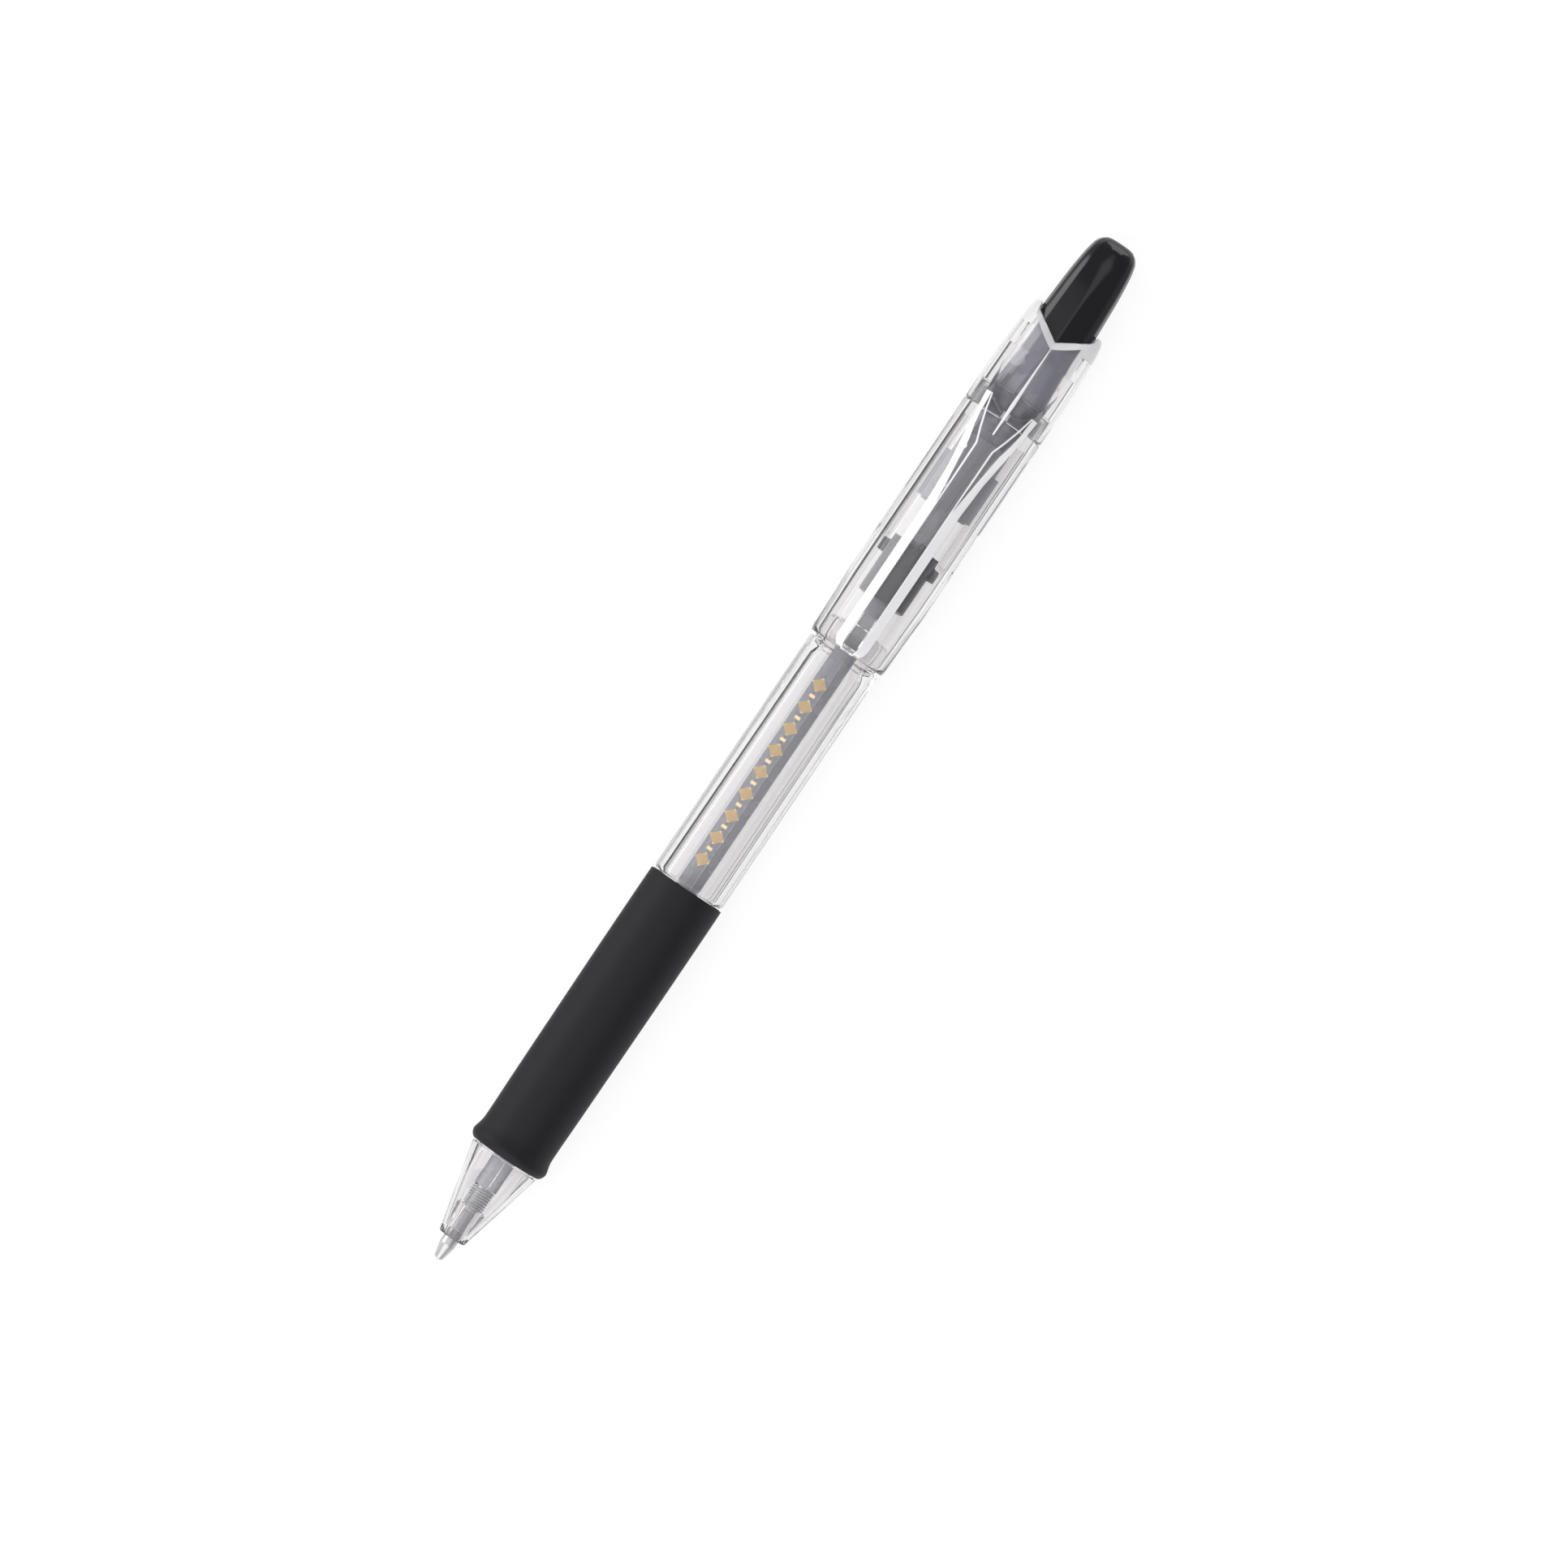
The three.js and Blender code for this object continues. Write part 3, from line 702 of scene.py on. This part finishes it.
def clip_pad():
    """The rounded pad under the clip's free end."""
    rings = []
    for station, low in between([
        (CLIP_END + 0.35, 6.4),
        (CLIP_END + 0.9, 5.7),
        (CLIP_END + 1.8, 5.52),
        (CLIP_END + 2.7, 5.7),
        (CLIP_END + 5.2, 6.5),
    ], 6):
        ring = mirrored([(0, low), (0.8, low), (0.95, low + 0.2), (0.95, PAD_TOP), (0, PAD_TOP)])
        rings.append([(station, *point) for point in rounded(ring, 0.08, 2, closed=True)])
    return loft("pad", rings)


def cap_cutters():
    """The tools that cut the socket and the bore, the button's opening and the V-shaped edge."""
    socket = revolve("socket", [
        (CAP_START - 1, 0),
        (CAP_START - 1, CAP_SOCKET),
        (CAP_SOCKET_END, CAP_SOCKET),
        (CAP_SOCKET_END, CAP_BORE),
        (CAP_STOP, CAP_BORE),
        (CAP_STOP, 0),
    ])
    opening = loft("opening", [
        button_ring(CAP_STOP - 1, BUTTON_HALF_WIDTH + 0.05, gap=BUTTON_GAP),
        button_ring(NOTCH_POINT, BUTTON_HALF_WIDTH + 0.05, gap=BUTTON_GAP),
        button_ring(CAP_END + 1, BUTTON_HALF_WIDTH + 0.05, gap=0.5),
    ])
    notch = loft("notch", [
        notch_ring(0, 2.6),
        notch_ring(0, 4.05),
        notch_ring(NOTCH_BEVEL, 5.2),
        notch_ring(NOTCH_BEVEL, 9),
    ])
    return socket, opening, notch


def cap_look(station, across, up, slope, eave):
    """Which of the cap's looks a face has: 0 is clear, 1 is a white painted highlight and 2 is a pale
    painted light. The face is given by its centre, with across always positive, and its normal.
    The eave is the half width of the clip's flat top there."""
    on_clip = station < CLIP_ROOT
    faces_up = slope.z > 0.5
    # Painted highlight: the clip's sloped sides, the edges of its flat top and the head's ridge.
    clip_side = on_clip and up > 6 and slope.z > 0.3 and abs(slope.y) > 0.5
    clip_edge = on_clip and up > 6.8 and faces_up and abs(across - eave) < 0.13
    ridge = station > 117 and up > 5.1 and faces_up and across < 0.3
    # Painted light: the notch's bevel and the cap's front rim.
    bevel = station > 128.5 and slope.x > 0.3 and slope.z > 0.1
    rim = station > 131.2 and across > 3.6 and slope.z > 0.1
    if clip_side or clip_edge or ridge:
        return 1
    return 2 if bevel or rim else 0


def cap_with_clip():
    """The cap and its clip as one moulding, whose clip bends at its root in the real pen."""
    shell = cap_blank()
    rows = clip_rows()
    arm = loft("arm", [arm_ring(*row) for row in rows])
    pad = clip_pad()
    cutters = cap_cutters()
    for tool in (arm, pad):
        combine(outward(shell), outward(tool), "UNION")
    for tool in cutters:
        combine(shell, outward(tool), "DIFFERENCE")
    show(shell, "clip_cap", None, "clear_plastic", CLEAR, PAINTED_HIGHLIGHT_WHITE, PAINTED_PALE_LIGHT)
    for face in shell.data.polygons:
        station = (face.center.x - PEN_START) / MM
        across = abs(face.center.y) / MM
        up = (face.center.z - AXIS_HEIGHT) / MM
        face.material_index = cap_look(station, across, up, face.normal, flat_at(rows, station))
    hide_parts("pocket_clip")
    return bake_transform(shell)


# ---------- button, plunger and rotor ----------

def button_and_neck():
    """The button and its thin neck in one skin. The button's foot follows the cap's notch."""
    crown = between([
        (134.5, 3.75, 0.15),
        (137.1, 3.615, 0.25),
        (139.5, 3.47, 0.6),
        (141.9, 3.225, 1.2),
        (PEN_LENGTH - 2.1, 3.03, 1.2),
        (PEN_LENGTH - 1.22, 2.8, 1.1),
        (PEN_LENGTH - 0.64, 2.44, 1.0),
        (PEN_LENGTH - 0.35, 2.12, 0.9),
        (PEN_LENGTH - 0.12, 1.75, 0.8),
        (PEN_LENGTH, 1.25, 0.6),
    ], 4)
    neck_half_width = 2.85
    foot_half_width = 3.78
    foot = [[(notch_station(across) - drop, across, up)
             for _, across, up in button_ring(0, half_width)]
            for half_width, drop in ((neck_half_width, 0.05), (foot_half_width, 0.0))]
    neck = [
        button_ring(NECK_END - 0.1, 3.4),
        button_ring(126, 3.3),
        button_ring(130, neck_half_width + 0.03),
    ]
    return loft("knock", neck + foot + [button_ring(*row) for row in crown])


def knock():
    """The button with its neck, flange and stem."""
    body = button_and_neck()
    tail = revolve("tail", rounded([
        (STEM_START, 0),
        (STEM_START, STEM_RADIUS),
        (FLANGE_START, STEM_RADIUS),
        (FLANGE_START, FLANGE_RADIUS),
        (NECK_END, FLANGE_RADIUS),
        (NECK_END, 0),
    ], 0.1))
    combine(outward(body), outward(tail), "UNION")
    show(body, "knock_button", "knock", "smoke_plastic", SMOKE, NECK_PAINTED_REFLECTION)
    # Painted reflection: the neck, flange and stem, which stand inside the cap, take the light grey.
    for face in body.data.polygons:
        station = (face.center.x - PEN_START) / MM
        if station < notch_station(face.center.y / MM) - 0.02:
            face.material_index = 1
    return body


def tooth(base):
    """The station of a crown of slanted teeth at an angle."""
    def station(angle):
        share = (90 - angle) * TEETH_COUNT / 360 % 1
        return base + TEETH_HEIGHT * min(share / TOOTH_RISE, (1 - share) / TOOTH_FALL)
    return station


def plunger():
    """The splined plunger, with its toothed driver and its pilot."""
    def splined(angle):
        return SPLINE_RADIUS if near(angle, 4, 45, SPLINE_HALF_DEG) else PLUNGER_RADIUS

    outline = [
        (PILOT_START, 0),
        (PILOT_START, PILOT_RADIUS - 0.1),
        (PILOT_START + 0.1, PILOT_RADIUS),
        (tooth(DRIVER_TEETH), PILOT_RADIUS),
        (tooth(DRIVER_TEETH), DRIVER_RADIUS),
        (PLUNGER_START, DRIVER_RADIUS),
        (PLUNGER_START, PLUNGER_RADIUS - 0.08),
        (PLUNGER_START + 0.08, PLUNGER_RADIUS),
        (SPLINE_START, PLUNGER_RADIUS),
        (SPLINE_START + 0.05, splined),
        (SPLINE_END - 0.05, splined),
        (SPLINE_END, PLUNGER_RADIUS),
        (PLUNGER_END - 0.1, PLUNGER_RADIUS),
        (PLUNGER_END, PLUNGER_RADIUS - 0.1),
        (PLUNGER_END, STEM_RADIUS + 0.05),
        (STEM_START - 0.2, STEM_RADIUS + 0.05),
        (STEM_START - 0.2, 0),
    ]
    body = revolve("plunger", outline, columns(rib_edges(4, 45, SPLINE_HALF_DEG)))
    return show(body, "knock_plunger", "knock", "mechanism_plastic", PLUNGER_PAINTED_REFLECTION)


def rotor():
    """The cam, whose ribs have helical backs and whose teeth face the driver."""
    def ribbed(angle):
        return SPLINE_RADIUS if near(angle, 4, 0, GUIDE_HALF_DEG) else PLUNGER_RADIUS

    def rib_back(extra):
        return lambda angle: min(max(guide_front(angle), 100.0), 101.0) - ROTOR_RIB_GAP + extra

    outline = [
        (TUBE_END + 0.2, 0),
        (TUBE_END + 0.2, TUBE_RADIUS + 0.12),
        (ROTOR_START, TUBE_RADIUS + 0.12),
        (ROTOR_START, PLUNGER_RADIUS - 0.08),
        (ROTOR_START + 0.08, PLUNGER_RADIUS),
        (ROTOR_RIB_FRONT, PLUNGER_RADIUS),
        (ROTOR_RIB_FRONT + 0.04, ribbed),
        (rib_back(-0.04), ribbed),
        (rib_back(0), PLUNGER_RADIUS),
        (tooth(ROTOR_TEETH), PLUNGER_RADIUS),
        (tooth(ROTOR_TEETH), PILOT_RADIUS + 0.15),
        (PILOT_START - 0.5, PILOT_RADIUS + 0.15),
        (PILOT_START - 0.5, 0),
    ]
    body = revolve("rotor", outline, columns(rib_edges(4, 0, GUIDE_HALF_DEG)))
    return show(body, "cam_rotor", "rotor", "mechanism_plastic", ROTOR_PAINTED_REFLECTION)


# ---------- refill and spring ----------

def refill():
    """The tube, its ink and the plug of grease behind the ink."""
    bore = INK_RADIUS + 0.07
    tube = revolve("refill_tube", rounded([
        (TUBE_START + 0.3, bore), (TUBE_START, bore), (TUBE_START, TUBE_RADIUS),
        (TUBE_END, TUBE_RADIUS), (TUBE_END, bore), (TUBE_END - 0.3, bore),
    ], 0.12))
    ink = revolve("ink_core", rounded([
        (INK_START, 0), (INK_START, INK_RADIUS), (INK_END, INK_RADIUS), (INK_END - 0.25, 0),
    ], 0.2))
    plug = revolve("grease_plug", rounded([
        (FOLLOWER_START, 0), (FOLLOWER_START, INK_RADIUS), (FOLLOWER_END, INK_RADIUS),
        (FOLLOWER_END - 0.3, 0),
    ], 0.2))
    show(tube, "ink_tube", "refill", "refill_tube", MILKY)
    show(ink, "ink_column", "refill", "ink", INK)
    show(plug, "ink_follower", "refill", "follower_grease", GREASE)


def tip():
    """The turned tip: a ringed cone, a straight shank with two grooves, and the ball's socket."""
    cone_back = 2.08
    lip = (TIP_START, 0.55)
    rings = 7
    cone = []
    for i in range(rings * 2 + 1):
        share = i / (rings * 2)
        groove = 0.02 if i % 2 else 0.0
        cone.append((lip[0] + (cone_back - lip[0]) * share,
                     lip[1] + (TIP_RADIUS - lip[1]) * share ** 0.9 - groove))
    shank = [(cone_back + 0.1, TIP_RADIUS)]
    for groove in (4.15, 6.9):
        shank += [(groove, TIP_RADIUS), (groove + 0.06, TIP_RADIUS - 0.05),
                  (groove + 0.2, TIP_RADIUS - 0.05), (groove + 0.26, TIP_RADIUS)]
    socket_radius = 0.53
    socket = []
    for degrees in range(27, 118, 15):
        turn = math.radians(degrees)
        socket.append((BALL_RADIUS + socket_radius * math.cos(turn), socket_radius * math.sin(turn)))
    outline = cone + shank + [(TIP_BACK, TIP_RADIUS), (TIP_BACK, 0.24), *socket]
    show(revolve("turned_tip", outline), "writing_tip", "refill", "tip_metal", NICKEL)


def ball():
    """The writing ball, turned about the pen's axis."""
    outline = []
    steps = 24
    for i in range(steps + 1):
        turn = math.pi * (1 - i / steps)
        outline.append((BALL_RADIUS * (1 + math.cos(turn)), BALL_RADIUS * math.sin(turn)))
    outline[0] = (0.0, 0)
    outline[-1] = (2 * BALL_RADIUS, 0)
    show(revolve("ball", outline), "writing_ball", "ball", "ball_metal", CARBIDE)


def spring():
    """A round wire wound about the axis, closed at both ends."""
    first = SPRING_SEAT + SPRING_WIRE + 0.03
    last = TUBE_START - SPRING_WIRE - 0.03
    steps = SPRING_TURNS * SPRING_STEPS_PER_TURN
    rings = []
    for i in range(steps + 1):
        share = i / steps
        turn = share * SPRING_TURNS * 2 * math.pi
        middle = first + (last - first) * share
        ring = []
        for k in range(SPRING_WIRE_SIDES):
            angle = k * 2 * math.pi / SPRING_WIRE_SIDES
            radius = SPRING_RADIUS + SPRING_WIRE * math.cos(angle)
            ring.append((middle + SPRING_WIRE * math.sin(angle),
                         radius * math.cos(turn), radius * math.sin(turn)))
        rings.append(ring)
    wire = loft("spring_wire", rings)
    show(wire, "return_spring", None, "spring_steel", STEEL)
    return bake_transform(wire)


# ---------- printed mark ----------

def foil_patch(corners, points, faces):
    """A thin closed patch of foil that follows the barrel, from corners as (station, across)."""
    base = len(points)
    count = len(corners)
    for height in (0.0, MARK_THICKNESS):
        for station, across in corners:
            turn = across / FRONT_RADIUS
            radius = FRONT_RADIUS + height
            points.append((station, radius * math.sin(turn), radius * math.cos(turn)))
    faces.append(tuple(range(base, base + count)))
    faces.append(tuple(range(base + count, base + 2 * count))[::-1])
    for i in range(count):
        j = (i + 1) % count
        faces.append((base + i, base + j, base + count + j, base + count + i))


def gold_mark():
    """A row of plain lozenges and bars in gold foil."""
    points, faces = [], []
    for i in range(MARK_COUNT):
        station = MARK_START + i * MARK_PITCH
        figure = BAR if i % 2 else LOZENGE
        foil_patch([(station + along, MARK_ACROSS + across) for along, across in figure],
                   points, faces)
    mark = outward(make_object("gold_mark", points, faces))
    mark.data.materials.append(GOLD)
    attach(mark, "barrel")


# ---------- studio ----------

def world_light():
    """A dim studio surround, brighter at the horizon and brightest overhead."""
    world = bpy.data.worlds.new("studio")
    bpy.context.scene.world = world
    world.use_nodes = True
    tree = world.node_tree
    sky = tree.nodes["Background"]
    direction = add(tree, "ShaderNodeTexCoord")
    split = add(tree, "ShaderNodeSeparateXYZ")
    ramp = add(tree, "ShaderNodeValToRGB")
    stops = ramp.color_ramp.elements
    stops.remove(stops[1])
    stops[0].position, stops[0].color = SKY[0]
    for position, colour in SKY[1:]:
        stops.new(position).color = colour
    tree.links.new(direction.outputs["Generated"], split.inputs["Vector"])
    tree.links.new(split.outputs["Z"], ramp.inputs["Fac"])
    tree.links.new(ramp.outputs["Color"], sky.inputs["Color"])
    sky.inputs["Strength"].default_value = 1.0


def soft_light(name, towards, tilt, size, power):
    """A square softbox a metre from the pen. It leans by tilt degrees off the vertical, towards a
    compass direction in degrees from +X."""
    lamp = bpy.data.lights.new(name, "AREA")
    lamp.shape = "SQUARE"
    lamp.size = size
    lamp.energy = power
    box = bpy.data.objects.new(name, lamp)
    lean, turn = math.radians(tilt), math.radians(towards)
    box.location = (math.sin(lean) * math.cos(turn), math.sin(lean) * math.sin(turn),
                    math.cos(lean))
    box.rotation_euler = Vector(box.location).to_track_quat("Z", "Y").to_euler()
    bpy.context.scene.collection.objects.link(box)


def flag(name, near_side, far_side):
    """A black strip on the table beside the pen, seen only in reflections and through clear walls.
    It lies between two distances from the middle."""
    corners = [(0, near_side), (PEN_LENGTH, near_side), (PEN_LENGTH, far_side), (0, far_side)]
    strip = link_mesh(name, [(PEN_START + station * MM, across * MM, FLAG_LIFT * MM)
                             for station, across in corners], [(0, 1, 2, 3)])
    strip.data.materials.append(FLAG_BLACK)
    strip.visible_camera = False
    strip.visible_diffuse = False
    strip.visible_shadow = False


def floor():
    """A light table: most of its brightness is its own glow."""
    corners = [(-1, -1), (1, -1), (1, 1), (-1, 1)]
    table = link_mesh("floor", [(x * TABLE_HALF, y * TABLE_HALF, 0) for x, y in corners],
                      [(0, 1, 2, 3)])
    table.data.materials.append(TABLE)


def camera():
    """Straight above the pen, which runs up to the right in the picture."""
    turn = math.radians(-56.0)
    view_width = 186.1 * MM
    lens, sensor = 200.0, 36.0
    right = Vector((math.cos(turn), math.sin(turn), 0))
    up = Vector((-math.sin(turn), math.cos(turn), 0))
    aim = right * 0.58 * MM - up * 3.8 * MM
    data = bpy.data.cameras.new("camera")
    data.lens = lens
    data.sensor_width = sensor
    data.clip_start, data.clip_end = 0.01, 20.0
    eye = bpy.data.objects.new("camera", data)
    eye.location = aim + Vector((0, 0, AXIS_HEIGHT + view_width * lens / sensor))
    eye.rotation_euler = (0, 0, turn)
    bpy.context.scene.collection.objects.link(eye)
    bpy.context.scene.camera = eye


camera()
world_light()
soft_light("key", towards=90, tilt=65, size=0.7, power=4.5)
soft_light("gloss", towards=90, tilt=38, size=0.5, power=0.3)
soft_light("front", towards=180, tilt=52, size=1.4, power=10.0)
soft_light("back", towards=0, tilt=76, size=0.8, power=4.0)
floor()
flag("left_flag", near_side=11.0, far_side=15.5)
flag("right_flag", near_side=-12.0, far_side=-13.5)
front_shell()
grip()
rear_shell()
cap_with_clip()
knock()
plunger()
rotor()
refill()
tip()
ball()
spring()
gold_mark()

scene = bpy.context.scene
scene.view_settings.view_transform = "Standard"
scene.cycles.max_bounces = 24
scene.cycles.glossy_bounces = 16
scene.cycles.transmission_bounces = 24
scene.cycles.transparent_max_bounces = 16
